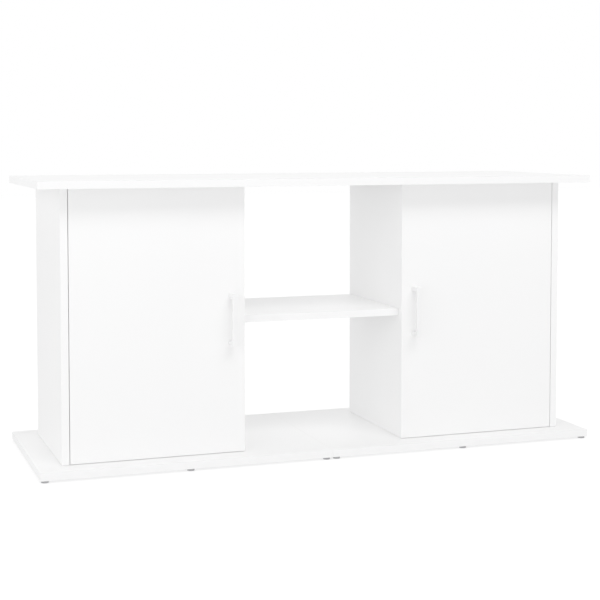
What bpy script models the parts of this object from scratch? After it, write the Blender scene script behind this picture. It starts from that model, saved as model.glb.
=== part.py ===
"""Aquarium stand cabinet: a low two-door cupboard with an open centre bay, for a 120 x 40 cm tank.

Metres, +Z up, +X to the right and +Y to the back. The origin is on the floor, under the middle.
"""

import math

import bmesh
import bpy
from mathutils import Vector

# Driving dimensions
WIDTH = 1.200
DEPTH = 0.400
HEIGHT = 0.580
BOARD = 0.015
FOOT_HEIGHT = 0.005
OVERHANG = 0.050
BODY_DEPTH = 0.305
BAY_WIDTH = 0.352
SHELF_TOP = 0.2975
SHELF_SETBACK = 0.022
BACK_BOARD = 0.003
BACK_BOARD_INSET = 0.0015

# Clearance between pieces that touch, and how far shapes that are joined run into each other
FIT = 0.0003
OVERLAP = 0.0005

# Levels and planes that follow from them
BASE_TOP = FOOT_HEIGHT + BOARD
TOP_UNDERSIDE = HEIGHT - BOARD
BODY_FRONT = -DEPTH / 2 + OVERHANG
BODY_BACK = BODY_FRONT + BODY_DEPTH
SIDE_OUTER = WIDTH / 2 - OVERHANG
SIDE_INNER = SIDE_OUTER - BOARD
BAY_SIDE = BAY_WIDTH / 2
CUPBOARD_SIDE = BAY_SIDE + BOARD
DOOR_BACK = BODY_FRONT + BOARD

# Doors
DOOR_GAP = 0.0015
DOOR_EDGE = SIDE_INNER - DOOR_GAP
DOOR_FREE_EDGE = BAY_SIDE - DOOR_GAP
DOOR_END_GAP = 0.001

# Hinge axis, measured from the side panel's inner front corner
AXIS_INSET = 0.01625
AXIS_SETBACK = 0.0062
AXIS_X = SIDE_INNER - AXIS_INSET
AXIS_Y = BODY_FRONT + AXIS_SETBACK
HINGE_LEVELS = {"lower": 0.105, "upper": 0.480}

# Hinge hardware
CUP_RADIUS = 0.0175
CUP_WALL = 0.001
CUP_RIM = 0.0015
CUP_DEPTH = 0.0125
CUP_FLOOR = 0.0008
CUP_EDGE_DISTANCE = 0.0045
CUP_X = DOOR_EDGE - CUP_EDGE_DISTANCE - CUP_RADIUS
FLANGE = 0.0012
FLANGE_WIDTH = 0.018
FLANGE_LENGTH = 0.062
FLANGE_CORNER = 0.006
PIN_RADIUS = 0.00125
PIN_LENGTH = 0.0270
KNUCKLE_RADIUS = 0.0025
ARM_WIDTH = 0.012
ARM_THICKNESS = 0.003
ARM_FACE = 0.007
ARM_END = 0.075
PLATE = 0.0025
PLATE_FRONT = 0.046
PLATE_DEPTH = 0.020
PLATE_HEIGHT = 0.050
BLOCK_FRONT = 0.041
BLOCK_DEPTH = 0.040
BLOCK_HEIGHT = 0.014

# Handles
HANDLE_X = 0.203
HANDLE_LEVEL = 0.294
HANDLE_LENGTH = 0.105
HANDLE_WIDTH = 0.011
HANDLE_BAR = 0.007
HANDLE_LEG = 0.009
HANDLE_REACH = 0.028
HANDLE_EDGE = 0.0008
SCREW_RADIUS = 0.002
SCREW_HEAD_RADIUS = 0.004
SCREW_HEAD = 0.0024
SCREW_LENGTH = 0.022
SCREW_SPARE_BORE = 0.002

# Magnetic catches and their strike plates
CATCH_THICKNESS = 0.013
CATCH_DEPTH = 0.015
CATCH_HEIGHT = 0.046
CATCH_SETBACK = 0.002
CATCH_LEVEL = 0.520
CATCH_EDGE = 0.001
STRIKE_HEIGHT = 0.040
STRIKE_EDGE = 0.0003

# Cover caps over the cam fittings that hold the uprights to the top panel
CAP_RADIUS = 0.009
CAP_THICKNESS = 0.001
CAP_RIM = 0.0005
CAP_DROP = 0.034
CAP_FROM_FRONT = 0.060
CAP_FROM_BACK = 0.040

# Feet, in three pairs under each half of the base
FOOT_RADIUS = 0.0075
FOOT_ROW_X = (0.011, 0.300, 0.590)
FOOT_ROW_Y = DEPTH / 2 - 0.010
FOOT_CHAMFER = 0.001

# Round pieces
ROUND = 24
SMALL_ROUND = 16
CORNER_STEPS = 4
KNUCKLE_STEPS = 8
SHARP_ANGLE = 35.0

MATERIALS = {
    "white_board": ((0.94, 0.94, 0.94), 0.4, 0.0),
    "white_hardboard": ((0.82, 0.82, 0.81), 0.6, 0.0),
    "handle_metal": ((0.93, 0.93, 0.93), 0.3, 0.1),
    "hinge_steel": ((0.62, 0.62, 0.64), 0.25, 1.0),
    "screw_steel": ((0.55, 0.55, 0.57), 0.3, 1.0),
    "foot_plastic": ((0.33, 0.33, 0.34), 0.35, 0.0),
    "white_plastic": ((0.88, 0.88, 0.88), 0.4, 0.0),
}
SIDES = {"left": -1, "right": 1}


def clear_scene():
    for obj in list(bpy.data.objects):
        bpy.data.objects.remove(obj)


def make_materials():
    for name, (colour, roughness, metallic) in MATERIALS.items():
        material = bpy.data.materials.new(name)
        material.use_nodes = True
        surface = material.node_tree.nodes["Principled BSDF"]
        surface.inputs["Base Color"].default_value = (*colour, 1.0)
        surface.inputs["Roughness"].default_value = roughness
        surface.inputs["Metallic"].default_value = metallic


def add_object(name, shape, origin, material, parent=None):
    """Turns a bmesh drawn around its own origin into an object that stands at that origin."""
    bmesh.ops.recalc_face_normals(shape, faces=shape.faces)
    mesh = bpy.data.meshes.new(name)
    shape.to_mesh(mesh)
    shape.free()
    obj = bpy.data.objects.new(name, mesh)
    bpy.context.scene.collection.objects.link(obj)
    if material:
        mesh.materials.append(bpy.data.materials[material])
    obj.location = Vector(origin)
    if parent:
        obj.parent = parent
        obj.location -= parent.location
    return obj


def box_shape(size):
    shape = bmesh.new()
    bmesh.ops.create_cube(shape, size=1.0)
    bmesh.ops.scale(shape, vec=size, verts=shape.verts)
    return shape


def box(name, low, high, material, parent=None):
    """A box between two corners, with its origin at its middle."""
    low = Vector(low)
    high = Vector(high)
    return add_object(name, box_shape(high - low), (low + high) / 2, material, parent)


def mirrored_box(name, side, inner, outer, front, back, bottom, top, material, parent=None):
    """A box on one side of the middle, between two distances from it."""
    low_x, high_x = sorted((side * inner, side * outer))
    return box(name, (low_x, front, bottom), (high_x, back, top), material, parent)


def turned_shape(outline, segments):
    """A solid turned about Z from (radius, height) points that start and end on the axis."""
    shape = bmesh.new()
    rings = []
    for radius, height in outline:
        if radius == 0.0:
            rings.append([shape.verts.new((0.0, 0.0, height))])
            continue
        ring = []
        for step in range(segments):
            angle = math.tau * step / segments
            ring.append(shape.verts.new((radius * math.cos(angle), radius * math.sin(angle), height)))
        rings.append(ring)
    for below, above in zip(rings, rings[1:]):
        for step in range(segments):
            corners = [
                below[step % len(below)],
                below[(step + 1) % len(below)],
                above[(step + 1) % len(above)],
                above[step % len(above)],
            ]
            shape.faces.new(list(dict.fromkeys(corners)))
    return shape


def cylinder_shape(radius, length, segments):
    return turned_shape([(0.0, 0.0), (radius, 0.0), (radius, length), (0.0, length)], segments)


def point_along_y(shape, direction):
    """Lays a shape that was turned about Z along +Y or -Y."""
    for vert in shape.verts:
        x, y, z = vert.co
        vert.co = (x, direction * z, -direction * y)
    return shape


def prism_shape(outline, thickness):
    """An XY outline with that thickness in Z, half of it each side of the outline's plane."""
    shape = bmesh.new()
    face = shape.faces.new([shape.verts.new((x, y, -thickness / 2)) for x, y in outline])
    raised = bmesh.ops.extrude_face_region(shape, geom=[face])["geom"]
    for item in raised:
        if isinstance(item, bmesh.types.BMVert):
            item.co.z = thickness / 2
    return shape


def rounded_outline(width, length, radius, steps):
    """A rectangle in XY with round corners, centred on the origin."""
    points = []
    for quarter, (across, along) in enumerate(((1, 1), (-1, 1), (-1, -1), (1, -1))):
        for step in range(steps + 1):
            angle = math.pi / 2 * (quarter + step / steps)
            x = across * (width / 2 - radius) + radius * math.cos(angle)
            y = along * (length / 2 - radius) + radius * math.sin(angle)
            points.append((x, y))
    return points


def smooth(obj):
    obj.data.shade_smooth()
    obj.data.set_sharp_from_angle(angle=math.radians(SHARP_ANGLE))


def bevel_edges(obj, width, segments=2):
    bevel = obj.modifiers.new("edges", "BEVEL")
    bevel.width = width
    bevel.segments = segments


def combine(obj, tool, operation):
    """Joins a tool to the object, or cuts it out, and keeps the tool as a hidden guide."""
    tool.hide_render = True
    tool.display_type = "WIRE"
    modifier = obj.modifiers.new(tool.name, "BOOLEAN")
    modifier.operation = operation
    modifier.object = tool


def bore(obj, name, shape, origin, parent=None):
    combine(obj, add_object(name, shape, origin, None, parent), "DIFFERENCE")


def make_base_and_top():
    box(
        "top_panel",
        (-WIDTH / 2, -DEPTH / 2, TOP_UNDERSIDE),
        (WIDTH / 2, DEPTH / 2, HEIGHT),
        "white_board",
    )
    for word, side in SIDES.items():
        mirrored_box(
            f"base_panel_{word}",
            side,
            FIT / 2,
            WIDTH / 2,
            -DEPTH / 2,
            DEPTH / 2,
            FOOT_HEIGHT,
            BASE_TOP,
            "white_board",
        )


def make_uprights():
    """Side panels and dividers stand between the base and the top; a back board closes each cupboard."""
    bottom = BASE_TOP + FIT
    top = TOP_UNDERSIDE - FIT
    divider_front = DOOR_BACK + DOOR_GAP
    for word, side in SIDES.items():
        mirrored_box(
            f"side_panel_{word}",
            side,
            SIDE_INNER,
            SIDE_OUTER,
            BODY_FRONT,
            BODY_BACK,
            bottom,
            top,
            "white_board",
        )
        mirrored_box(
            f"divider_{word}",
            side,
            BAY_SIDE,
            CUPBOARD_SIDE,
            divider_front,
            BODY_BACK,
            bottom,
            top,
            "white_board",
        )
        mirrored_box(
            f"back_board_{word}",
            side,
            BAY_SIDE + BACK_BOARD_INSET,
            SIDE_OUTER - BACK_BOARD_INSET,
            BODY_BACK + FIT,
            BODY_BACK + FIT + BACK_BOARD,
            bottom,
            top,
            "white_hardboard",
        )


def make_centre_shelf():
    reach = BAY_SIDE - FIT
    box(
        "centre_shelf",
        (-reach, BODY_FRONT + SHELF_SETBACK, SHELF_TOP - BOARD),
        (reach, BODY_BACK, SHELF_TOP),
        "white_board",
    )


def make_feet():
    """Nail-on glides: a shallow disc with a chamfered lower edge."""
    height = FOOT_HEIGHT - FIT
    outline = [
        (0.0, 0.0),
        (FOOT_RADIUS - FOOT_CHAMFER, 0.0),
        (FOOT_RADIUS, FOOT_CHAMFER),
        (FOOT_RADIUS, height),
        (0.0, height),
    ]
    for word, side in SIDES.items():
        for place, x in zip(("inner", "middle", "outer"), FOOT_ROW_X):
            for row, y in (("front", -FOOT_ROW_Y), ("rear", FOOT_ROW_Y)):
                shape = turned_shape(outline, ROUND)
                name = f"foot_{word}_{row}_{place}"
                smooth(add_object(name, shape, (side * x, y, 0.0), "foot_plastic"))


def make_cam_caps():
    """Two caps near the top of each upright's cupboard face."""
    outline = [(0.0, 0.0), (CAP_RADIUS, 0.0), (CAP_RADIUS - CAP_RIM, CAP_THICKNESS), (0.0, CAP_THICKNESS)]
    rows = (("front", BODY_FRONT + CAP_FROM_FRONT), ("rear", BODY_BACK - CAP_FROM_BACK))
    for word, side in SIDES.items():
        faces = (("side", SIDE_INNER - FIT, -side), ("divider", CUPBOARD_SIDE + FIT, side))
        for board, x, direction in faces:
            for row, y in rows:
                shape = turned_shape(outline, SMALL_ROUND)
                for vert in shape.verts:
                    vert.co = (direction * vert.co.z, vert.co.y, -direction * vert.co.x)
                origin = (side * x, y, TOP_UNDERSIDE - CAP_DROP)
                smooth(add_object(f"cam_cap_{board}_{word}_{row}", shape, origin, "white_plastic"))


def make_door(word, side, pivot):
    bottom = BASE_TOP + DOOR_END_GAP
    door = mirrored_box(
        f"door_{word}",
        side,
        DOOR_FREE_EDGE,
        DOOR_EDGE,
        BODY_FRONT,
        DOOR_BACK,
        bottom,
        TOP_UNDERSIDE - DOOR_END_GAP,
        "white_board",
        pivot,
    )
    for level, z in HINGE_LEVELS.items():
        shape = cylinder_shape(CUP_RADIUS + FIT, CUP_DEPTH + FIT + BOARD, ROUND)
        origin = (side * CUP_X, DOOR_BACK + BOARD, z)
        bore(door, f"cup_bore_{word}_{level}", point_along_y(shape, -1), origin, pivot)
    for end, z in handle_hole_levels().items():
        shape = cylinder_shape(SCREW_RADIUS + FIT, 3 * BOARD, SMALL_ROUND)
        origin = (side * HANDLE_X, DOOR_BACK + BOARD, z)
        bore(door, f"screw_hole_{word}_{end}", point_along_y(shape, -1), origin, pivot)


def handle_hole_levels():
    reach = (HANDLE_LENGTH - HANDLE_LEG) / 2
    return {"lower": HANDLE_LEVEL - reach, "upper": HANDLE_LEVEL + reach}


def handle_outline():
    """The handle seen from its end: a flat bar in front and two legs that run back to the door."""
    half = HANDLE_LENGTH / 2
    inner = half - HANDLE_LEG
    foot = -FIT
    bar_back = -(HANDLE_REACH - HANDLE_BAR)
    return [
        (foot, half),
        (-HANDLE_REACH, half),
        (-HANDLE_REACH, -half),
        (foot, -half),
        (foot, -inner),
        (bar_back, -inner),
        (bar_back, inner),
        (foot, inner),
    ]


def make_handle(word, side, pivot):
    shape = prism_shape(handle_outline(), HANDLE_WIDTH)
    for vert in shape.verts:
        y, z, x = vert.co
        vert.co = (x, y, z)
    origin = (side * HANDLE_X, BODY_FRONT, HANDLE_LEVEL)
    handle = add_object(f"handle_{word}", shape, origin, "handle_metal", pivot)
    bevel_edges(handle, HANDLE_EDGE)
    hole_depth = SCREW_LENGTH - BOARD + SCREW_SPARE_BORE
    for end, z in handle_hole_levels().items():
        shape = cylinder_shape(SCREW_RADIUS + FIT, 2 * hole_depth, SMALL_ROUND)
        origin = (side * HANDLE_X, BODY_FRONT + hole_depth, z)
        bore(handle, f"handle_bore_{word}_{end}", point_along_y(shape, -1), origin, pivot)
        make_handle_screw(f"handle_screw_{word}_{end}", (side * HANDLE_X, DOOR_BACK + FIT, z), pivot)


def make_handle_screw(name, origin, pivot):
    """A pan-head screw, from its head behind the door forward into the handle's leg."""
    recess = 0.0012
    recess_radius = 0.0014
    shape = turned_shape(
        [
            (0.0, -SCREW_LENGTH),
            (SCREW_RADIUS, -SCREW_LENGTH),
            (SCREW_RADIUS, 0.0),
            (SCREW_HEAD_RADIUS, 0.0),
            (SCREW_HEAD_RADIUS, 0.6 * SCREW_HEAD),
            (0.75 * SCREW_HEAD_RADIUS, SCREW_HEAD),
            (recess_radius, SCREW_HEAD),
            (0.5 * recess_radius, SCREW_HEAD - recess),
            (0.0, SCREW_HEAD - recess),
        ],
        SMALL_ROUND,
    )
    smooth(add_object(name, point_along_y(shape, 1), origin, "screw_steel", pivot))


def make_hinge_cup(word, side, level, z, pivot):
    """The cup sunk in the door's back, with a flange screwed to it above and below."""
    outline = rounded_outline(FLANGE_WIDTH, FLANGE_LENGTH, FLANGE_CORNER, CORNER_STEPS)
    flange = prism_shape(outline, FLANGE)
    for vert in flange.verts:
        x, along, across = vert.co
        vert.co = (x, across, along)
    plate_y = DOOR_BACK + FIT + FLANGE / 2
    name = f"hinge_cup_{word}_{level}"
    cup = add_object(name, flange, (side * CUP_X, plate_y, z), "hinge_steel", pivot)
    rim = DOOR_BACK + FIT + FLANGE
    shell = turned_shape(
        [
            (0.0, -CUP_DEPTH - FLANGE - FIT),
            (CUP_RADIUS, -CUP_DEPTH - FLANGE - FIT),
            (CUP_RADIUS, -FLANGE),
            (CUP_RADIUS + CUP_RIM, -FLANGE),
            (CUP_RADIUS + CUP_RIM, 0.0),
            (0.0, 0.0),
        ],
        ROUND,
    )
    origin = (side * CUP_X, rim, z)
    body = add_object(f"{name}_shell", point_along_y(shell, 1), origin, None, pivot)
    combine(cup, body, "UNION")
    hollow_radius = CUP_RADIUS - CUP_WALL
    hollow_depth = CUP_DEPTH + FLANGE + FIT - CUP_FLOOR
    hollow = cylinder_shape(hollow_radius, hollow_depth + BOARD, ROUND)
    origin = (side * CUP_X, rim + BOARD, z)
    bore(cup, f"{name}_hollow", point_along_y(hollow, -1), origin, pivot)


def make_hinge_pin(word, side, level, z, pivot):
    shape = cylinder_shape(PIN_RADIUS, PIN_LENGTH, SMALL_ROUND)
    origin = (side * AXIS_X, AXIS_Y, z - PIN_LENGTH / 2)
    smooth(add_object(f"hinge_pin_{word}_{level}", shape, origin, "screw_steel", pivot))


def arm_outline(side):
    """The goose-neck arm from above, drawn from the pin: round knuckle, hook, crank and straight end."""
    knuckle = []
    for step in range(KNUCKLE_STEPS + 1):
        angle = math.pi * (step / KNUCKLE_STEPS - 0.5)
        knuckle.append((KNUCKLE_RADIUS * math.cos(angle), KNUCKLE_RADIUS * math.sin(angle)))
    neck = [
        (-0.0110, 0.0025),
        (-0.0122, 0.0040),
        (-0.0122, 0.0183),
        (ARM_FACE, 0.0320),
        (ARM_FACE, ARM_END),
        (ARM_FACE - ARM_THICKNESS, ARM_END),
        (ARM_FACE - ARM_THICKNESS, 0.0345),
        (-0.0152, 0.0205),
        (-0.0152, 0.0020),
        (-0.0112, -0.0015),
    ]
    return [(side * x, y) for x, y in knuckle + neck]


def make_hinge_arm(word, side, level, z):
    name = f"hinge_arm_{word}_{level}"
    shape = prism_shape(arm_outline(side), ARM_WIDTH)
    arm = add_object(name, shape, (side * AXIS_X, AXIS_Y, z), "hinge_steel")
    pin_hole = cylinder_shape(PIN_RADIUS + FIT, 2 * ARM_WIDTH, SMALL_ROUND)
    bore(arm, f"{name}_eye", pin_hole, (side * AXIS_X, AXIS_Y, z - ARM_WIDTH))


def make_mounting_plate(word, side, level, z):
    """The plate screwed to the side panel, with the raised block that carries the arm."""
    name = f"hinge_plate_{word}_{level}"
    panel = SIDE_INNER - FIT
    block_face = AXIS_X + ARM_FACE + FIT
    plate = mirrored_box(
        name,
        side,
        panel - PLATE,
        panel,
        BODY_FRONT + PLATE_FRONT,
        BODY_FRONT + PLATE_FRONT + PLATE_DEPTH,
        z - PLATE_HEIGHT / 2,
        z + PLATE_HEIGHT / 2,
        "hinge_steel",
    )
    block = mirrored_box(
        f"{name}_block",
        side,
        block_face,
        panel - OVERLAP,
        BODY_FRONT + BLOCK_FRONT,
        BODY_FRONT + BLOCK_FRONT + BLOCK_DEPTH,
        z - BLOCK_HEIGHT / 2,
        z + BLOCK_HEIGHT / 2,
        None,
    )
    combine(plate, block, "UNION")


def make_catch(word, side, pivot):
    """A magnetic catch on the divider, and the strike plate that it holds on the door."""
    inner = CUPBOARD_SIDE + FIT
    outer = inner + CATCH_THICKNESS
    front = DOOR_BACK + CATCH_SETBACK
    catch = mirrored_box(
        f"magnetic_catch_{word}",
        side,
        inner,
        outer,
        front,
        front + CATCH_DEPTH,
        CATCH_LEVEL - CATCH_HEIGHT / 2,
        CATCH_LEVEL + CATCH_HEIGHT / 2,
        "white_plastic",
    )
    bevel_edges(catch, CATCH_EDGE)
    strike_inset = 0.0005
    strike = mirrored_box(
        f"strike_plate_{word}",
        side,
        inner + strike_inset,
        outer - strike_inset,
        DOOR_BACK + FIT,
        front - strike_inset,
        CATCH_LEVEL - STRIKE_HEIGHT / 2,
        CATCH_LEVEL + STRIKE_HEIGHT / 2,
        "screw_steel",
        pivot,
    )
    bevel_edges(strike, STRIKE_EDGE, 1)


def make_doors():
    """Each door and what is fixed to it hang from an empty on the hinge axis."""
    for word, side in SIDES.items():
        pivot = bpy.data.objects.new(f"{word}_door_pivot", None)
        bpy.context.scene.collection.objects.link(pivot)
        pivot.location = (side * AXIS_X, AXIS_Y, 0.0)
        make_door(word, side, pivot)
        make_handle(word, side, pivot)
        make_catch(word, side, pivot)
        for level, z in HINGE_LEVELS.items():
            make_hinge_cup(word, side, level, z, pivot)
            make_hinge_pin(word, side, level, z, pivot)
            make_hinge_arm(word, side, level, z)
            make_mounting_plate(word, side, level, z)


def main():
    clear_scene()
    make_materials()
    make_base_and_top()
    make_uprights()
    make_centre_shelf()
    make_feet()
    make_cam_caps()
    make_doors()


main()
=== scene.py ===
"""Looks of the aquarium stand cabinet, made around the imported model: materials, edge rounding,
hinge and screw detail, studio light and camera. Metres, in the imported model's own frame.
"""

import math

import bmesh
import bpy
from mathutils import Matrix, Vector


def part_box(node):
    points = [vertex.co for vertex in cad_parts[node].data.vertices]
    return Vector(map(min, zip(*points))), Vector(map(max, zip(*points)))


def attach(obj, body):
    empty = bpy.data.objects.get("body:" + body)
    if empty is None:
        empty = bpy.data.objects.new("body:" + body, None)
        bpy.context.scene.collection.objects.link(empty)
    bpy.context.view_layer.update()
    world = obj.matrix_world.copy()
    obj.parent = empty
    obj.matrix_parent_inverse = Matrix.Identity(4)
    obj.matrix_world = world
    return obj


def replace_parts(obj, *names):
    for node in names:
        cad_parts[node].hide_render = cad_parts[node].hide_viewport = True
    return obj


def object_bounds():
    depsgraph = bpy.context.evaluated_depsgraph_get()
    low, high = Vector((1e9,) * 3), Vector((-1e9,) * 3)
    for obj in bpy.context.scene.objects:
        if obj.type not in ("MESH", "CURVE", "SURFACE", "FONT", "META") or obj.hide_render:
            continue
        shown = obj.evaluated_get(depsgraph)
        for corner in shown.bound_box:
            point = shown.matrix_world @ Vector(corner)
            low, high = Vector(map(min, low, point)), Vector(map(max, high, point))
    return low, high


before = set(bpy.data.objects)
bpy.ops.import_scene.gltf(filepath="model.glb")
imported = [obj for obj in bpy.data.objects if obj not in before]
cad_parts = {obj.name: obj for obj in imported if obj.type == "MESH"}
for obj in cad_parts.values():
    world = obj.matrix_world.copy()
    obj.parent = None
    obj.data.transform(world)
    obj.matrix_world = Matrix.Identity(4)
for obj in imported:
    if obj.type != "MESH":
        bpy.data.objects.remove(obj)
CAD_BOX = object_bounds()

SIDES = {"left": -1, "right": 1}
LEVELS = ("lower", "upper")
ENDS = ("lower", "upper")

# Camera: place, turn to the right and tilt up in degrees, lens in millimetres, and shift of the picture
# as a share of its width
CAMERA_PLACE = (-0.996, -2.809, 0.667)
CAMERA_YAW = 19.49
CAMERA_PITCH = -3.11
CAMERA_LENS = 82.2
CAMERA_SHIFT = -0.15

# Light: strength of the room from everywhere, behind and left, then (azimuth, elevation, distance,
# width, height, power) of each softbox, where azimuth 0 is straight in front of the doors
ROOM_LIGHT = 0.43
BACKDROP_LIGHT = 0.69
LEFT_LIGHT = 0.40
SOFTBOXES = {
    "key_light": (12.0, 50.0, 4.0, 3.0, 1.4, 55.0),
    "fill_light": (-50.0, 15.0, 4.0, 3.0, 2.0, 22.0),
    "front_light": (0.0, 3.0, 6.0, 0.5, 0.5, 18.0),
}

# Floor: half its length, its grey, how strongly it glows for the cabinet, how bright the camera sees it
# in the open and in the narrow gap under the base, where its glow is painted darker as a contact shade,
# and how far from the base that painted shade reaches
FLOOR_SIZE = 12.0
FLOOR_GREY = (0.35, 0.35, 0.35)
FLOOR_ROUGHNESS = 0.9
FLOOR_GLOW = 0.47
FLOOR_WHITE = 0.80
FLOOR_PAINTED_SHADE = 0.60
FLOOR_PAINTED_SHADE_REACH = 0.03

WHITE = (1.0, 1.0, 1.0, 1.0)

# Gamma of the picture, which lifts its middle tones
TONE_GAMMA = 1.4

# White boards: even colour and roughness, then the darkest and the lightest tone of their faces and of
# their edge bands, the range of their roughness, and how squarely a surface looks along the board's
# thickness where it stops being all edge band and where it is all face
MELAMINE = ((0.94, 0.94, 0.94), 0.4)
FACE_TONES = ((0.934, 0.934, 0.935), (0.944, 0.944, 0.943))
BAND_TONES = ((0.938, 0.939, 0.941), (0.946, 0.946, 0.946))
MELAMINE_ROUGHNESS = (0.36, 0.46)
BAND_TURN = (0.35, 0.75)

# Back boards, in the same way
HARDBOARD = ((0.82, 0.82, 0.81), 0.6)
HARDBOARD_TONES = ((0.805, 0.803, 0.796), (0.836, 0.835, 0.830))
HARDBOARD_ROUGHNESS = (0.52, 0.70)

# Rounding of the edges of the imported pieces
BOARD_EDGE = 0.0003
BASE_EDGE = 0.0001
STEEL_EDGE = 0.0003
WELD = 0.00001
EDGE_ANGLE = math.radians(30.0)
EDGE_STEPS = 3

# New pieces: steps round a large and a small round shape, and the corner that counts as sharp
FINE_ROUND = 64
SCREW_ROUND = 24
SHARP = math.radians(35.0)
SMALL_EDGE_STEPS = 2

# How far a screw's head is sunk into what it holds, so that no light shows under it, and the reach and
# half width of a pan head's cross recess at its top and its floor, as shares of the head's radius
SUNK = 0.0002
RECESS_TOP = (0.52, 0.13)
RECESS_FLOOR = (0.34, 0.10)

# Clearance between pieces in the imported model
FIT = 0.0003

# Feet: chamfer round the sole, depth of the dish for the nail, and chamfer round the top
FOOT_CHAMFER = 0.0009
FOOT_DISH = 0.0009
FOOT_TOP_EDGE = 0.0003

# Hinge cups: thickness of the wall and the floor, width of the rim, and chamfer round the bottom
CUP_WALL = 0.0010
CUP_FLOOR = 0.0008
CUP_RIM = 0.0015
CUP_EDGE = 0.0005

# The cups' wings, and (radius, height) of their screws' heads. The shares are where a wing leaves the
# cup, of the cup's radius, and where its screw is, of the wing's reach.
WING_WIDTH = 0.018
WING_THICKNESS = 0.0012
WING_CORNER = 0.006
WING_CORNER_STEPS = 6
WING_ROOT_SHARE = 0.86
WING_SCREW = (0.0034, 0.0009)
WING_SCREW_SHARE = 0.78

# Hinge arms, measured from the pin: the centre line's points (towards the side panel, to the back), how
# soft its bends are, the strip's thickness and half widths, the cheeks that straddle the mounting
# plate's block, and the knuckle round the pin with the tongue that joins it to the strip
NECK = ((-0.0111, 0.0005), (-0.0137, 0.0030), (-0.0137, 0.0194), (0.0055, 0.03325), (0.0055, 0.0750))
NECK_BEND = 0.004
NECK_BEND_ROUNDS = 2
NECK_THICKNESS = 0.0028
NECK_HALF_WIDTH = 0.0058
ARM_HALF_WIDTH = 0.0084
ARM_START = 0.0300
ARM_WIDENING = 0.006
CHEEK = 0.0012
CHEEK_START = 0.0365
CHEEK_REACH = 0.0065
KNUCKLE_RADIUS = 0.0025
TONGUE_ACROSS = (-0.0118, -0.0010)
TONGUE_ALONG = (-0.00225, 0.0010)

# Hinge screws: how far behind the pin, then (radius, height) of the head
ADJUSTING_SCREW = (0.0435, (0.0029, 0.0012))
FIXING_SCREW = (0.0600, (0.0042, 0.0022))

# Mounting plates: thickness, (radius, height) of their screws' heads, and how far the screws are behind
# the plate's front end and above and below the pin
PLATE_THICKNESS = 0.0025
PLATE_SCREW = (0.0038, 0.0016)
PLATE_SCREW_DEPTH = 0.015
PLATE_SCREW_REACH = 0.018

# The pin's bracket in each cup, measured from the pin: its reach across, the heights between which
# each cheek stands, and its back edge
BRACKET_REACH = (-0.0060, 0.0030)
BRACKET_HEIGHTS = (0.0085, 0.0100)
BRACKET_BACK = 0.0032

# Catches: half widths of the magnet and of the pole strips beside it, how much of the catch's height
# they take, how far they stand proud of it, and how deep they are let in
MAGNET_HALF_WIDTH = 0.0024
MAGNET_SHARE = 0.62
MAGNET_PROUD = 0.0001
POLE_PLACE = 0.0033
POLE_HALF_WIDTH = 0.0008
POLE_SHARE = 0.70
POLE_PROUD = 0.0002
CATCH_INLET = 0.001

# Screws in the catches and the strike plates: heads, how far from the middle they are, as a share of
# half the height, and the countersunk screws' cross recess
CATCH_SCREW = (0.0028, 0.0012)
CATCH_SCREW_SHARE = 0.72
STRIKE_SCREW_RADIUS = 0.0026
STRIKE_SCREW_PROUD = 0.00015
STRIKE_SCREW_SHARE = 0.8
STRIKE_RECESS = (0.55, 0.14)

# Fixings in the boards: (radius, height) of a nail's head and the steps round it, the nails in a row
# and how far the first is from the row's end, how far bolts and caps are from a board's edge, and the
# sizes of the bolt heads and the caps
NAIL = (0.0017, 0.0006)
NAIL_ROUND = 16
NAIL_ROWS = 8
NAIL_END = 0.020
FIXING_INSET = 0.045
BOLT_RADIUS = 0.0048
BOLT_HEAD = 0.0006
BOLT_RECESS = 0.0040
CAP_RADIUS = 0.0060
CAP_HEIGHT = 0.0009


# Materials


def add_node(tree, kind, **settings):
    """Adds a shader node with those settings."""
    made = tree.nodes.new(kind)
    for name, value in settings.items():
        setattr(made, name, value)
    return made


def new_material(name, colour, roughness, metallic=0.0):
    material = bpy.data.materials.new(name)
    material.use_nodes = True
    surface = material.node_tree.nodes["Principled BSDF"]
    surface.inputs["Base Color"].default_value = (*colour, 1.0)
    surface.inputs["Roughness"].default_value = roughness
    surface.inputs["Metallic"].default_value = metallic
    return material, material.node_tree, surface


def object_place(tree, stretch=(1.0, 1.0, 1.0)):
    """Places on the piece, in metres, stretched for patterns that run along one direction."""
    place = add_node(tree, "ShaderNodeTexCoord")
    mapping = add_node(tree, "ShaderNodeMapping")
    mapping.inputs["Scale"].default_value = stretch
    tree.links.new(place.outputs["Object"], mapping.inputs["Vector"])
    return mapping.outputs["Vector"]


def noise(tree, place, scale, detail):
    made = add_node(tree, "ShaderNodeTexNoise")
    made.inputs["Scale"].default_value = scale
    made.inputs["Detail"].default_value = detail
    tree.links.new(place, made.inputs["Vector"])
    return made.outputs["Fac"]


def spread(tree, value, low, high, start=0.3, end=0.7):
    """Turns a pattern that runs from start to end into values from low to high."""
    made = add_node(tree, "ShaderNodeMapRange")
    for name, number in (("From Min", start), ("From Max", end), ("To Min", low), ("To Max", high)):
        made.inputs[name].default_value = number
    tree.links.new(value, made.inputs["Value"])
    return made.outputs["Result"]


def two_colours(tree, factor, first, second):
    """Goes from one colour or pattern to another as the factor goes from 0 to 1."""
    made = add_node(tree, "ShaderNodeMix", data_type="RGBA")
    sockets = [socket for socket in made.inputs if socket.type == "RGBA"]
    for socket, colour in zip(sockets, (first, second)):
        if isinstance(colour, bpy.types.NodeSocket):
            tree.links.new(colour, socket)
        else:
            socket.default_value = (*colour, 1.0)
    tree.links.new(factor, made.inputs["Factor"])
    return next(socket for socket in made.outputs if socket.type == "RGBA")


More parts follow.
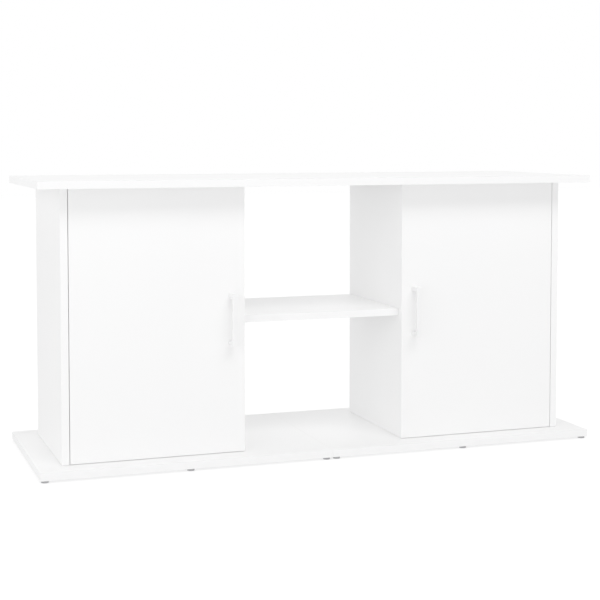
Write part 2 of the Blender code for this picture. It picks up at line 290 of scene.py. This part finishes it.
def add_bump(tree, surface, height, strength, distance):
    """Makes a pattern stand out of the surface by up to that distance, in metres."""
    made = add_node(tree, "ShaderNodeBump")
    made.inputs["Strength"].default_value = strength
    made.inputs["Distance"].default_value = distance
    tree.links.new(height, made.inputs["Height"])
    tree.links.new(made.outputs["Normal"], surface.inputs["Normal"])


def edge_mask(tree, thickness):
    """1 on a board's narrow edges and 0 on its two faces.
    Thickness is the direction from one face to the other.
    """
    place = add_node(tree, "ShaderNodeTexCoord")
    along = add_node(tree, "ShaderNodeVectorMath", operation="DOT_PRODUCT")
    along.inputs[1].default_value = thickness
    tree.links.new(place.outputs["Normal"], along.inputs[0])
    size = add_node(tree, "ShaderNodeMath", operation="ABSOLUTE")
    tree.links.new(along.outputs["Value"], size.inputs[0])
    return spread(tree, size.outputs["Value"], 1.0, 0.0, *BAND_TURN)


def melamine(name, thickness):
    """Satin white foil with a fine orange-peel surface, and an edge band a little whiter."""
    material, tree, surface = new_material(name, *MELAMINE)
    place = object_place(tree)
    cloud = noise(tree, place, scale=4.0, detail=3.0)
    mottle = noise(tree, place, scale=90.0, detail=4.0)
    peel = noise(tree, place, scale=900.0, detail=1.0)
    face = two_colours(tree, spread(tree, cloud, 0.0, 1.0), *FACE_TONES)
    band = two_colours(tree, spread(tree, mottle, 0.0, 1.0), *BAND_TONES)
    colour = two_colours(tree, edge_mask(tree, thickness), face, band)
    tree.links.new(colour, surface.inputs["Base Color"])
    tree.links.new(spread(tree, mottle, *MELAMINE_ROUGHNESS), surface.inputs["Roughness"])
    add_bump(tree, surface, peel, strength=0.12, distance=0.0002)
    return material


def hardboard():
    """White lacquer on pressed fibre: matt, with a faint cloudy tone and a fine fibrous grain."""
    material, tree, surface = new_material("lacquered_hardboard", *HARDBOARD)
    cloud = noise(tree, object_place(tree), scale=9.0, detail=5.0)
    fibre = noise(tree, object_place(tree, (1.0, 1.0, 0.35)), scale=700.0, detail=4.0)
    colour = two_colours(tree, spread(tree, cloud, 0.0, 1.0), *HARDBOARD_TONES)
    tree.links.new(colour, surface.inputs["Base Color"])
    tree.links.new(spread(tree, fibre, *HARDBOARD_ROUGHNESS), surface.inputs["Roughness"])
    add_bump(tree, surface, fibre, strength=0.35, distance=0.0003)
    return material


def mottled(name, colour, tint, roughness, cloud_scale, grain_scale, grain, metallic=0.0):
    """A finish whose tone and gloss drift softly over the surface, with a fine grain.
    The drift stays on one side of a roughness of 0.274, where the denoiser would draw an edge.
    """
    material, tree, surface = new_material(name, colour, roughness, metallic)
    place = object_place(tree)
    cloud = noise(tree, place, cloud_scale, detail=3.0)
    fine = noise(tree, place, grain_scale, detail=2.0)
    tone = two_colours(tree, spread(tree, cloud, 0.0, 1.0), colour, tint)
    tree.links.new(tone, surface.inputs["Base Color"])
    gloss = spread(tree, cloud, roughness * 0.8, roughness * 1.3)
    tree.links.new(gloss, surface.inputs["Roughness"])
    add_bump(tree, surface, fine, grain, distance=0.0001)
    return material


def handle_coat():
    """Pale satin coating on the handles' metal."""
    return mottled(
        "handle_coat",
        colour=(0.89, 0.89, 0.895),
        tint=(0.91, 0.91, 0.91),
        roughness=0.48,
        metallic=0.05,
        cloud_scale=80.0,
        grain_scale=2500.0,
        grain=0.06,
    )


def nickel():
    """Nickel plate on pressed steel."""
    return mottled(
        "nickel_plate",
        colour=(0.60, 0.59, 0.57),
        tint=(0.69, 0.68, 0.65),
        roughness=0.20,
        metallic=1.0,
        cloud_scale=140.0,
        grain_scale=2400.0,
        grain=0.12,
    )


def zinc():
    """Zinc plate, a little bluer and duller than nickel."""
    return mottled(
        "zinc_plate",
        colour=(0.50, 0.52, 0.56),
        tint=(0.60, 0.60, 0.61),
        roughness=0.36,
        metallic=1.0,
        cloud_scale=260.0,
        grain_scale=2600.0,
        grain=0.12,
    )


def foot_plastic():
    """Dark grey plastic of the glides."""
    return mottled(
        "glide_plastic",
        colour=(0.30, 0.30, 0.31),
        tint=(0.36, 0.36, 0.37),
        roughness=0.36,
        cloud_scale=220.0,
        grain_scale=3000.0,
        grain=0.15,
    )


def white_plastic():
    """Moulded plastic of the cover caps and the catches."""
    return mottled(
        "moulded_white",
        colour=(0.88, 0.88, 0.88),
        tint=(0.91, 0.91, 0.905),
        roughness=0.42,
        cloud_scale=200.0,
        grain_scale=2800.0,
        grain=0.12,
    )


def ferrite():
    """The dark magnet in each catch."""
    return mottled(
        "ferrite",
        colour=(0.05, 0.05, 0.055),
        tint=(0.08, 0.08, 0.085),
        roughness=0.55,
        cloud_scale=300.0,
        grain_scale=3200.0,
        grain=0.3,
    )


def make_materials():
    return {
        "flat_board": melamine("melamine_flat", (0.0, 0.0, 1.0)),
        "upright_board": melamine("melamine_upright", (1.0, 0.0, 0.0)),
        "door_board": melamine("melamine_door", (0.0, 1.0, 0.0)),
        "hardboard": hardboard(),
        "handle": handle_coat(),
        "nickel": nickel(),
        "zinc": zinc(),
        "foot": foot_plastic(),
        "plastic": white_plastic(),
        "ferrite": ferrite(),
    }


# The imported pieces


def round_edges(obj, width):
    """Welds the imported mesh's split corners, then rounds its sharp edges."""
    weld = obj.modifiers.new("weld", "WELD")
    weld.merge_threshold = WELD
    bevel = obj.modifiers.new("edges", "BEVEL")
    bevel.width = width
    bevel.segments = EDGE_STEPS
    bevel.limit_method = "ANGLE"
    bevel.angle_limit = EDGE_ANGLE
    bevel.harden_normals = True


def finish_node(name, material, edge=None):
    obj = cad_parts[name]
    obj.data.materials.clear()
    obj.data.materials.append(material)
    if edge:
        round_edges(obj, edge)


def finish_boards(looks):
    finish_node("top_panel", looks["flat_board"], BOARD_EDGE)
    finish_node("centre_shelf", looks["flat_board"], BOARD_EDGE)
    for word in SIDES:
        finish_node(f"base_panel_{word}", looks["flat_board"], BASE_EDGE)
        finish_node(f"side_panel_{word}", looks["upright_board"], BOARD_EDGE)
        finish_node(f"divider_{word}", looks["upright_board"], BOARD_EDGE)
        finish_node(f"door_{word}", looks["door_board"], BOARD_EDGE)
        finish_node(f"back_board_{word}", looks["hardboard"], BOARD_EDGE)


def finish_fittings(looks):
    for word in SIDES:
        finish_node(f"handle_{word}", looks["handle"])
        finish_node(f"magnetic_catch_{word}", looks["plastic"])
        finish_node(f"strike_plate_{word}", looks["zinc"])
        for end in ENDS:
            finish_node(f"handle_screw_{word}_{end}", looks["zinc"])
        for level in LEVELS:
            finish_node(f"hinge_pin_{word}_{level}", looks["zinc"])
            finish_node(f"hinge_plate_{word}_{level}", looks["nickel"], STEEL_EDGE)
        for board in ("side", "divider"):
            for row in ("front", "rear"):
                finish_node(f"cam_cap_{board}_{word}_{row}", looks["plastic"])


# New pieces


def facing(place, direction):
    """Where a shape drawn round Z stands, when its Z is to point along that direction."""
    turn = Vector(direction).to_track_quat("Z", "Y").to_matrix().to_4x4()
    return Matrix.Translation(place) @ turn


def cross(head, shares):
    """Radius of a cross recess at an angle. Its reach and half width are shares of the head's radius."""
    arm, half_width = (share * head for share in shares)

    def radius(angle):
        off = (angle + math.pi / 4) % (math.pi / 2) - math.pi / 4
        across = abs(math.sin(off))
        reach = arm / math.cos(off)
        return reach if across * reach < half_width else half_width / across

    return radius


def hexagon(across_flats):
    """Radius of a six-sided recess at an angle."""

    def radius(angle):
        off = angle % (math.pi / 3) - math.pi / 6
        return across_flats / 2 / math.cos(off)

    return radius


def add_turned(shape, outline, where, segments):
    """Adds a closed solid made of rings round Z, from (radius, height) pairs.
    The first and the last pair are on the axis. A radius may also be a function of the angle.
    """
    rings = []
    for radius, height in outline:
        ring = []
        for step in range(1 if radius == 0.0 else segments):
            angle = math.tau * step / segments
            reach = radius(angle) if callable(radius) else radius
            spot = where @ Vector((reach * math.cos(angle), reach * math.sin(angle), height))
            ring.append(shape.verts.new(spot))
        rings.append(ring)
    for below, above in zip(rings, rings[1:]):
        for step in range(segments):
            corners = [
                below[step % len(below)],
                below[(step + 1) % len(below)],
                above[(step + 1) % len(above)],
                above[step % len(above)],
            ]
            shape.faces.new(list(dict.fromkeys(corners)))


def add_plate(shape, outline, low, high, where):
    """Adds a flat plate with that XY outline, between two heights."""
    levels = []
    for height in (low, high):
        levels.append([shape.verts.new(where @ Vector((x, y, height))) for x, y in outline])
    shape.faces.new(levels[0][::-1])
    shape.faces.new(levels[1])
    count = len(outline)
    for step in range(count):
        after = (step + 1) % count
        shape.faces.new((levels[0][step], levels[0][after], levels[1][after], levels[1][step]))


def add_block(shape, low, high):
    """Adds a box between two corners."""
    corners = [(low[0], low[1]), (high[0], low[1]), (high[0], high[1]), (low[0], high[1])]
    add_plate(shape, corners, low[2], high[2], Matrix.Identity(4))


def add_mirrored_block(shape, side, origin, across, along, up):
    """Adds a box by its reach in X, Y and Z from an origin, with X turned outwards on either side."""
    reaches = (sorted(side * x for x in across), sorted(along), sorted(up))
    add_block(shape, *(origin + Vector(corner) for corner in zip(*reaches)))


def new_piece(name, shape, material, body, edge=None):
    """Makes the shape a piece that rides on a body. An edge width rounds its sharp edges."""
    bmesh.ops.recalc_face_normals(shape, faces=shape.faces)
    mesh = bpy.data.meshes.new(name)
    shape.to_mesh(mesh)
    shape.free()
    mesh.materials.append(material)
    mesh.shade_smooth()
    mesh.set_sharp_from_angle(angle=SHARP)
    piece = bpy.data.objects.new(name, mesh)
    bpy.context.scene.collection.objects.link(piece)
    if edge:
        bevel = piece.modifiers.new("edges", "BEVEL")
        bevel.width = edge
        bevel.segments = SMALL_EDGE_STEPS
        bevel.limit_method = "ANGLE"
        bevel.angle_limit = SHARP
        bevel.harden_normals = True
    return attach(piece, body)


def middle(node):
    low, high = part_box(node)
    return (low + high) / 2


def pan_head(radius, height):
    """A domed screw head with a cross recess, sunk a little into what it holds."""
    recess = cross(radius, RECESS_TOP)
    floor = cross(radius, RECESS_FLOOR)
    return [
        (0.0, -SUNK),
        (radius, -SUNK),
        (radius, 0.35 * height),
        (0.93 * radius, 0.65 * height),
        (0.8 * radius, 0.88 * height),
        (0.62 * radius, height),
        (recess, height),
        (floor, 0.15 * height),
        (0.0, 0.0),
    ]


def nail_head(radius, height):
    """A low domed head, sunk a little into the board."""
    return [
        (0.0, -SUNK),
        (radius, -SUNK),
        (radius, 0.4 * height),
        (0.8 * radius, 0.85 * height),
        (0.0, height),
    ]


def add_heads(shape, spots, direction, outline, segments=SCREW_ROUND):
    for spot in spots:
        add_turned(shape, outline, facing(spot, direction), segments)


# Feet


def glide_outline(radius, height):
    """A nail-on glide from its sole up: a shallow dish for the nail, a round rim and a straight wall."""
    return [
        (0.0, FOOT_DISH),
        (0.27 * radius, FOOT_DISH),
        (0.31 * radius, FOOT_DISH / 3),
        (0.5 * radius, 0.0),
        (radius - FOOT_CHAMFER, 0.0),
        (radius - 0.3 * FOOT_CHAMFER, 0.3 * FOOT_CHAMFER),
        (radius, FOOT_CHAMFER),
        (radius, height - FOOT_TOP_EDGE),
        (radius - FOOT_TOP_EDGE, height),
        (0.0, height),
    ]


def make_feet(looks):
    for word in SIDES:
        for row in ("front", "rear"):
            for place in ("inner", "middle", "outer"):
                node = f"foot_{word}_{row}_{place}"
                low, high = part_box(node)
                spot = middle(node)
                spot.z = low.z
                shape = bmesh.new()
                outline = glide_outline((high.x - low.x) / 2, high.z - low.z)
                add_turned(shape, outline, facing(spot, (0.0, 0.0, 1.0)), FINE_ROUND)
                name = f"glide_{word}_{row}_{place}"
                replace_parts(new_piece(name, shape, looks["foot"], "carcass"), node)


# Hinges


def door_hinge_sizes(word, level):
    """The cup's middle on the door's back, its radius, its depth and half the wings' length."""
    low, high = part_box(f"hinge_cup_{word}_{level}")
    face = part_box(f"door_{word}")[1].y
    centre = middle(f"hinge_cup_{word}_{level}")
    centre.y = face
    radius = (high.x - low.x) / 2 - CUP_RIM
    return centre, radius, face - low.y, (high.z - low.z) / 2


def cup_outline(radius, depth):
    """Half the cup's section, from the middle of its floor out, over the rim and back inside."""
    inner = radius - CUP_WALL
    rim = radius + CUP_RIM
    top = FIT + WING_THICKNESS
    floor = CUP_FLOOR - depth
    return [
        (0.0, -depth),
        (radius - CUP_EDGE, -depth),
        (radius, CUP_EDGE - depth),
        (radius, FIT),
        (rim, FIT),
        (rim, top - STEEL_EDGE),
        (rim - STEEL_EDGE, top),
        (inner + STEEL_EDGE, top),
        (inner, top - STEEL_EDGE),
        (inner, floor + CUP_WALL),
        (inner - CUP_WALL, floor),
        (0.0, floor),
    ]


def wing_outline(radius, reach):
    """One wing of the cup's flange: from under the rim out to a rounded end."""
    half = WING_WIDTH / 2
    points = [(half, WING_ROOT_SHARE * radius), (half, reach - WING_CORNER)]
    for step in range(1, WING_CORNER_STEPS + 1):
        angle = math.pi / 2 * step / WING_CORNER_STEPS
        across = half - WING_CORNER * (1 - math.cos(angle))
        points.append((across, reach - WING_CORNER * (1 - math.sin(angle))))
    points += [(-x, y) for x, y in reversed(points)]
    return points


def make_hinge_cup(looks, word, level):
    """The cup in the door and the two wings of its flange."""
    centre, radius, depth, reach = door_hinge_sizes(word, level)
    shape = bmesh.new()
    add_turned(shape, cup_outline(radius, depth), facing(centre, (0.0, 1.0, 0.0)), FINE_ROUND)
    outwards = Matrix.Translation(centre) @ Matrix.Rotation(math.radians(-90.0), 4, "X")
    for turn in (0.0, 180.0):
        where = outwards @ Matrix.Rotation(math.radians(turn), 4, "Z")
        add_plate(shape, wing_outline(radius, reach), FIT, FIT + WING_THICKNESS, where)
    name = f"cup_{word}_{level}"
    cup = new_piece(name, shape, looks["nickel"], f"{word}_door", STEEL_EDGE / 2)
    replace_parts(cup, f"hinge_cup_{word}_{level}")
    make_cup_screws(looks, word, level)


def make_cup_screws(looks, word, level):
    """One screw through each wing of the cup into the door."""
    centre, _, _, reach = door_hinge_sizes(word, level)
    face = centre + Vector((0.0, FIT + WING_THICKNESS, 0.0))
    spots = [face + Vector((0.0, 0.0, way * WING_SCREW_SHARE * reach)) for way in (-1, 1)]
    shape = bmesh.new()
    add_heads(shape, spots, (0.0, 1.0, 0.0), pan_head(*WING_SCREW))
    new_piece(f"cup_screws_{word}_{level}", shape, looks["zinc"], f"{word}_door")


def rounded_path(points):
    """Cuts a path's corners over and over, so that it bends as pressed steel does."""
    for _ in range(NECK_BEND_ROUNDS):
        cut = [points[0]]
        for start, end in zip(points, points[1:]):
            start, end = Vector(start), Vector(end)
            near = min(0.25, NECK_BEND / (end - start).length)
            cut += [start.lerp(end, near), end.lerp(start, near)]
        cut.append(points[-1])
        points = cut
    return [Vector(point) for point in points]


def neck_half_width(along):
    """The arm is narrow where it dips into the cup and widens to straddle the mounting plate's block."""
    share = min(1.0, max(0.0, (along - ARM_START) / ARM_WIDENING))
    return NECK_HALF_WIDTH + share * (ARM_HALF_WIDTH - NECK_HALF_WIDTH)


def add_neck(shape, side, pin):
    """A strip of steel swept along the goose neck's centre line."""
    path = rounded_path(NECK)
    sections = []
    for index, spot in enumerate(path):
        before = path[max(index - 1, 0)]
        after = path[min(index + 1, len(path) - 1)]
        along = (after - before).normalized()
        across = Vector((along.y, -along.x)) * (NECK_THICKNESS / 2)
        half = neck_half_width(spot.y)
        section = []
        for way, height in ((1, -half), (1, half), (-1, half), (-1, -half)):
            point = spot + way * across
            section.append(shape.verts.new(pin + Vector((side * point.x, point.y, height))))
        sections.append(section)
    for near, far in zip(sections, sections[1:]):
        for step in range(4):
            after = (step + 1) % 4
            shape.faces.new((near[step], near[after], far[after], far[step]))
    shape.faces.new(sections[0])
    shape.faces.new(sections[-1])


def make_hinge_arm(looks, word, side, level):
    """The goose neck, its knuckle round the pin and the cheeks at its other end."""
    pin = middle(f"hinge_pin_{word}_{level}")
    shape = bmesh.new()
    add_neck(shape, side, pin)
    half = NECK_HALF_WIDTH
    knuckle = [(0.0, -half), (KNUCKLE_RADIUS, -half), (KNUCKLE_RADIUS, half), (0.0, half)]
    add_turned(shape, knuckle, Matrix.Translation(pin), SCREW_ROUND)
    add_mirrored_block(shape, side, pin, TONGUE_ACROSS, TONGUE_ALONG, (-half, half))
    straight, end = NECK[-1]
    cheek = (straight + CHEEK, straight + CHEEK_REACH)
    for way in (-1, 1):
        heights = (way * (ARM_HALF_WIDTH - CHEEK), way * ARM_HALF_WIDTH)
        add_mirrored_block(shape, side, pin, cheek, (CHEEK_START, end), heights)
    name = f"goose_neck_{word}_{level}"
    arm = new_piece(name, shape, looks["nickel"], "carcass", STEEL_EDGE)
    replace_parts(arm, f"hinge_arm_{word}_{level}")
    make_arm_screws(looks, word, side, level, pin)


def make_arm_screws(looks, word, side, level, pin):
    """The side adjusting screw, the larger fixing screw behind it, and the plate's two screws."""
    inward = (-side, 0.0, 0.0)
    face = pin.x + side * (NECK[-1][0] - NECK_THICKNESS / 2)
    screws = bmesh.new()
    for behind, head in (ADJUSTING_SCREW, FIXING_SCREW):
        add_heads(screws, [Vector((face, pin.y + behind, pin.z))], inward, pan_head(*head))
    panel_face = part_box(f"side_panel_{word}")[1 if side < 0 else 0].x
    plate_face = panel_face - side * (FIT + PLATE_THICKNESS)
    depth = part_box(f"hinge_plate_{word}_{level}")[0].y + PLATE_SCREW_DEPTH
    spots = [Vector((plate_face, depth, pin.z + way * PLATE_SCREW_REACH)) for way in (-1, 1)]
    add_heads(screws, spots, inward, pan_head(*PLATE_SCREW))
    new_piece(f"hinge_screws_{word}_{level}", screws, looks["zinc"], "carcass")


def make_pin_bracket(looks, word, side, level):
    """Two cheeks that rise from the cup's floor and hold the pin's ends."""
    pin = middle(f"hinge_pin_{word}_{level}")
    centre, _, depth, _ = door_hinge_sizes(word, level)
    floor = centre.y - depth + CUP_FLOOR
    along = (floor - SUNK - pin.y, BRACKET_BACK)
    shape = bmesh.new()
    for way in (-1, 1):
        heights = [way * height for height in BRACKET_HEIGHTS]
        add_mirrored_block(shape, side, pin, BRACKET_REACH, along, heights)
    name = f"pin_bracket_{word}_{level}"
    new_piece(name, shape, looks["nickel"], f"{word}_door", STEEL_EDGE)


def make_hinges(looks):
    for word, side in SIDES.items():
        for level in LEVELS:
            make_hinge_cup(looks, word, level)
            make_hinge_arm(looks, word, side, level)
            make_pin_bracket(looks, word, side, level)


# Catches


def add_inlay(shape, node, place, half_width, share, proud):
    """Adds a strip let into a catch's front face, standing a little proud of it."""
    low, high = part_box(node)
    centre = (low + high) / 2
    half_height = share * (high.z - centre.z)
    add_block(
        shape,
        Vector((centre.x + place - half_width, low.y - proud, centre.z - half_height)),
        Vector((centre.x + place + half_width, low.y + CATCH_INLET, centre.z + half_height)),
    )


def make_catch_poles(looks, word):
    """The two steel strips that carry the magnet's pull to the strike plate."""
    shape = bmesh.new()
    catch = f"magnetic_catch_{word}"
    for way in (-1, 1):
        add_inlay(shape, catch, way * POLE_PLACE, POLE_HALF_WIDTH, POLE_SHARE, POLE_PROUD)
    new_piece(f"catch_poles_{word}", shape, looks["zinc"], "carcass", POLE_PROUD / 2)


def make_catch_magnet(looks, word):
    """The dark plastic-bonded magnet between the poles."""
    shape = bmesh.new()
    add_inlay(shape, f"magnetic_catch_{word}", 0.0, MAGNET_HALF_WIDTH, MAGNET_SHARE, MAGNET_PROUD)
    new_piece(f"catch_magnet_{word}", shape, looks["ferrite"], "carcass", MAGNET_PROUD)


def make_catch_screws(looks, word, side):
    """Two screws through the catch into the divider."""
    low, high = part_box(f"magnetic_catch_{word}")
    centre = (low + high) / 2
    outer = high.x if side > 0 else low.x
    reach = CATCH_SCREW_SHARE * (high.z - centre.z)
    spots = [Vector((outer, centre.y, centre.z + way * reach)) for way in (-1, 1)]
    shape = bmesh.new()
    add_heads(shape, spots, (side, 0.0, 0.0), pan_head(*CATCH_SCREW))
    new_piece(f"catch_screws_{word}", shape, looks["zinc"], "carcass")


def make_strike_screws(looks, word):
    """Two countersunk screws, as good as flush, so that the catch can meet the strike plate."""
    radius = STRIKE_SCREW_RADIUS
    recess = cross(radius, STRIKE_RECESS)
    outline = [
        (0.0, -SUNK),
        (radius, -SUNK),
        (radius, 0.0),
        (0.94 * radius, STRIKE_SCREW_PROUD),
        (recess, STRIKE_SCREW_PROUD),
        (recess, -SUNK / 2),
        (0.0, -SUNK / 2),
    ]
    low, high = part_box(f"strike_plate_{word}")
    centre = (low + high) / 2
    reach = STRIKE_SCREW_SHARE * (high.z - centre.z)
    spots = [Vector((centre.x, high.y, centre.z + way * reach)) for way in (-1, 1)]
    shape = bmesh.new()
    add_heads(shape, spots, (0.0, 1.0, 0.0), outline)
    new_piece(f"strike_screws_{word}", shape, looks["zinc"], f"{word}_door")


def make_catches(looks):
    for word, side in SIDES.items():
        make_catch_poles(looks, word)
        make_catch_magnet(looks, word)
        make_catch_screws(looks, word, side)
        make_strike_screws(looks, word)


# Fixings in the boards


def nail_spots(word):
    """Nails down both upright edges of a back board, into the divider and the side panel."""
    low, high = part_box(f"back_board_{word}")
    columns = [middle(f"{board}_{word}").x for board in ("divider", "side_panel")]
    spots = []
    for column in columns:
        for step in range(NAIL_ROWS):
            share = step / (NAIL_ROWS - 1)
            height = low.z + NAIL_END + share * (high.z - low.z - 2 * NAIL_END)
            spots.append(Vector((column, high.y, height)))
    return spots


def make_nails(looks):
    for word in SIDES:
        shape = bmesh.new()
        add_heads(shape, nail_spots(word), (0.0, 1.0, 0.0), nail_head(*NAIL), NAIL_ROUND)
        new_piece(f"back_nails_{word}", shape, looks["zinc"], "carcass")


def make_base_bolts(looks):
    """Flat bolt heads with a six-sided recess under the base, below each upright."""
    outline = [
        (0.0, -SUNK),
        (BOLT_RADIUS, -SUNK),
        (BOLT_RADIUS, BOLT_HEAD / 2),
        (0.9 * BOLT_RADIUS, BOLT_HEAD),
        (hexagon(BOLT_RECESS), BOLT_HEAD),
        (hexagon(0.95 * BOLT_RECESS), -SUNK / 2),
        (0.0, -SUNK / 2),
    ]
    for word in SIDES:
        shape = bmesh.new()
        spots = []
        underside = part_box(f"base_panel_{word}")[0].z
        for board in ("divider", "side_panel"):
            low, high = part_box(f"{board}_{word}")
            for depth in (low.y + FIXING_INSET, high.y - FIXING_INSET):
                spots.append(Vector(((low.x + high.x) / 2, depth, underside)))
        add_heads(shape, spots, (0.0, 0.0, -1.0), outline)
        new_piece(f"base_bolts_{word}", shape, looks["zinc"], "carcass")


def make_shelf_caps(looks):
    """Cover caps over the screws that hold the shelf, on the cupboard side of each divider."""
    outline = [
        (0.0, -SUNK / 2),
        (CAP_RADIUS, -SUNK / 2),
        (CAP_RADIUS, 0.35 * CAP_HEIGHT),
        (0.86 * CAP_RADIUS, 0.8 * CAP_HEIGHT),
        (0.0, CAP_HEIGHT),
    ]
    shelf_low, shelf_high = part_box("centre_shelf")
    level = (shelf_low.z + shelf_high.z) / 2
    for word, side in SIDES.items():
        low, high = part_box(f"divider_{word}")
        face = high.x if side > 0 else low.x
        depths = (shelf_low.y + FIXING_INSET, shelf_high.y - FIXING_INSET)
        shape = bmesh.new()
        spots = [Vector((face, depth, level)) for depth in depths]
        add_heads(shape, spots, (side, 0.0, 0.0), outline, FINE_ROUND)
        new_piece(f"shelf_caps_{word}", shape, looks["plastic"], "carcass")


# Studio


def make_camera():
    camera = bpy.data.objects.new("camera", bpy.data.cameras.new("camera"))
    bpy.context.scene.collection.objects.link(camera)
    camera.location = CAMERA_PLACE
    camera.rotation_euler = (math.radians(90.0 + CAMERA_PITCH), 0.0, math.radians(-CAMERA_YAW))
    camera.data.lens = CAMERA_LENS
    camera.data.shift_y = CAMERA_SHIFT
    bpy.context.scene.camera = camera


def lobe(tree, place, direction, strength):
    """Light that is strongest from one direction and falls to nothing a quarter turn away."""
    towards = add_node(tree, "ShaderNodeVectorMath", operation="DOT_PRODUCT")
    towards.inputs[1].default_value = direction
    tree.links.new(place.outputs["Generated"], towards.inputs[0])
    return spread(tree, towards.outputs["Value"], 0.0, strength, 0.0, 1.0)


def make_world():
    """A white room: even light all round, more of it from the backdrop and from the left."""
    world = bpy.data.worlds.new("studio")
    world.use_nodes = True
    tree = world.node_tree
    lit = tree.nodes["Background"]
    place = add_node(tree, "ShaderNodeTexCoord")
    total = add_node(tree, "ShaderNodeMath", operation="ADD")
    tree.links.new(lobe(tree, place, (0.0, 1.0, 0.0), BACKDROP_LIGHT), total.inputs[0])
    tree.links.new(lobe(tree, place, (-1.0, 0.0, 0.0), LEFT_LIGHT), total.inputs[1])
    even = add_node(tree, "ShaderNodeMath", operation="ADD")
    tree.links.new(total.outputs["Value"], even.inputs[0])
    even.inputs[1].default_value = ROOM_LIGHT
    tree.links.new(even.outputs["Value"], lit.inputs["Strength"])
    seen = add_node(tree, "ShaderNodeBackground")
    path = add_node(tree, "ShaderNodeLightPath")
    choice = add_node(tree, "ShaderNodeMixShader")
    tree.links.new(path.outputs["Is Camera Ray"], choice.inputs["Fac"])
    tree.links.new(lit.outputs["Background"], choice.inputs[1])
    tree.links.new(seen.outputs["Background"], choice.inputs[2])
    for background in (lit, seen):
        background.inputs["Color"].default_value = WHITE
    tree.links.new(choice.outputs["Shader"], tree.nodes["World Output"].inputs["Surface"])
    bpy.context.scene.world = world


def make_softbox(name, azimuth, elevation, distance, width, height, power):
    """A rectangular light that faces the middle of the cabinet. Azimuth 0 is straight in front."""
    centre = (CAD_BOX[0] + CAD_BOX[1]) / 2
    across = math.radians(azimuth)
    up = math.radians(elevation)
    away = Vector((math.sin(across) * math.cos(up), -math.cos(across) * math.cos(up), math.sin(up)))
    light = bpy.data.lights.new(name, "AREA")
    light.shape = "RECTANGLE"
    light.size = width
    light.size_y = height
    light.energy = power
    obj = bpy.data.objects.new(name, light)
    bpy.context.scene.collection.objects.link(obj)
    obj.location = centre + distance * away
    obj.rotation_euler = (-away).to_track_quat("-Z", "Y").to_euler()
    obj.visible_camera = False


def make_floor():
    """A pale floor that glows like a white light table, so that only a faint real shadow shows on it.
    Where the camera sees it, that glow is painted darker near the base, a painted contact shade.
    """
    shape = bmesh.new()
    bmesh.ops.create_grid(shape, x_segments=4, y_segments=4, size=FLOOR_SIZE)
    mesh = bpy.data.meshes.new("floor")
    shape.to_mesh(mesh)
    shape.free()
    floor = bpy.data.objects.new("floor", mesh)
    bpy.context.scene.collection.objects.link(floor)
    material, tree, surface = new_material("floor", FLOOR_GREY, FLOOR_ROUGHNESS)
    surface.inputs["Specular IOR Level"].default_value = 0.0
    surface.inputs["Emission Color"].default_value = WHITE
    # Painted shade: the glow the camera sees is darkened by an ambient-occlusion mask near the base,
    # from the open-floor white down to the gap shade under the base
    openness = add_node(tree, "ShaderNodeAmbientOcclusion")
    openness.inputs["Distance"].default_value = FLOOR_PAINTED_SHADE_REACH
    seen = spread(tree, openness.outputs["AO"], FLOOR_PAINTED_SHADE, FLOOR_WHITE, 0.0, 1.0)
    path = add_node(tree, "ShaderNodeLightPath")
    glow = add_node(tree, "ShaderNodeMix", data_type="FLOAT")
    tree.links.new(path.outputs["Is Camera Ray"], glow.inputs["Factor"])
    glow.inputs["A"].default_value = FLOOR_GLOW
    tree.links.new(seen, glow.inputs["B"])
    tree.links.new(glow.outputs["Result"], surface.inputs["Emission Strength"])
    mesh.materials.append(material)


def make_studio():
    make_camera()
    make_world()
    for name, (azimuth, elevation, distance, width, height, power) in SOFTBOXES.items():
        make_softbox(name, azimuth, elevation, distance, width, height, power)
    make_floor()
    settings = bpy.context.scene.view_settings
    settings.view_transform = "Standard"
    settings.gamma = TONE_GAMMA


looks = make_materials()
make_studio()
finish_boards(looks)
finish_fittings(looks)
make_feet(looks)
make_hinges(looks)
make_catches(looks)
make_nails(looks)
make_base_bolts(looks)
make_shelf_caps(looks)
